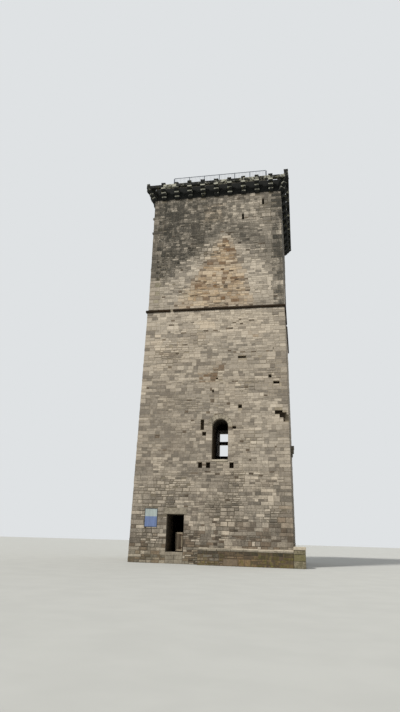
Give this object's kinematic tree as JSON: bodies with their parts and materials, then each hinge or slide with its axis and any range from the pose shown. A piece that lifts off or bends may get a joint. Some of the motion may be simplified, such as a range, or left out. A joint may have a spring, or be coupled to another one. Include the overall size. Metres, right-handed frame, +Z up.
{
  "type": "castle keep",
  "caption": "Square stone keep with a battered lower stage, a string course, a corbelled machicolated head, a railed terrace and a low gate in its doorway.",
  "frame": {"origin": "middle of the square plan at ground level", "axes": "+Z up, the front with the doorway and the arched opening faces -Y, +X to the viewer's right"},
  "size_m": [11.7688, 11.6588, 30.45],
  "materials": {
    "wall_stone": "coursed rubble, weathered warm grey-beige",
    "upper_stone": "coursed rubble, grey with dark lichen streaks",
    "dressed_stone": "dressed blocks, matt",
    "crusted_stone": "dressed blocks under a black crust with pale edges",
    "plinth_stone": "rubble, mossy",
    "floor_stone": "worn paving",
    "oak": "weathered oak",
    "iron": "forged, rusty",
    "rail_steel": "painted steel, satin",
    "board_panel": "painted panel, faded"
  },
  "bodies": {
    "keep": {"ground_floor": "floor_stone", "front_wall_ground_left": "wall_stone", "front_wall_ground_right": "wall_stone", "front_wall_over_door": "wall_stone", "door_lintel": "dressed_stone", "door_threshold": "dressed_stone", "front_wall_first_left": "wall_stone", "front_wall_first_right": "wall_stone", "front_wall_over_arch": "wall_stone", "arch_stones": "dressed_stone", "arch_sill": "dressed_stone", "front_wall_middle": "wall_stone", "back_wall_ground": "wall_stone", "back_wall_first_left": "wall_stone", "back_wall_first_right": "wall_stone", "back_window_transom": "dressed_stone", "back_wall_middle": "wall_stone", "left_wall_lower": "wall_stone", "right_wall_lower": "wall_stone", "front_wall_upper": "upper_stone", "back_wall_upper": "upper_stone", "left_wall_upper": "upper_stone", "right_wall_upper": "upper_stone", "string_course": "crusted_stone", "plinth": "plinth_stone", "plinth_cap": "dressed_stone", "plinth_corner_block": "dressed_stone", "front_corbels": "crusted_stone", "back_corbels": "crusted_stone", "left_corbels": "crusted_stone", "right_corbels": "crusted_stone", "corner_corbels": "crusted_stone", "front_lintels": "crusted_stone", "back_lintels": "crusted_stone", "left_lintels": "crusted_stone", "right_lintels": "crusted_stone", "parapet_stubs": "crusted_stone", "terrace_slab": "floor_stone", "terrace_platform": "floor_stone", "guard_rail": "rail_steel", "floor_beams": "oak", "floor_boards": "oak", "notice_board": "board_panel", "side_box": "dressed_stone", "gate_pintles": "iron"},
    "gate": {"gate_leaf": "oak", "gate_straps": "iron"}
  },
  "joints": [
    {"name": "gate_hinge", "type": "hinge", "parent": "keep", "child": "gate", "pos_m": [-1.76, -5.13202, 0.76], "axis": [0, 0, 1], "range_deg": [-38, 52]}
  ]
}
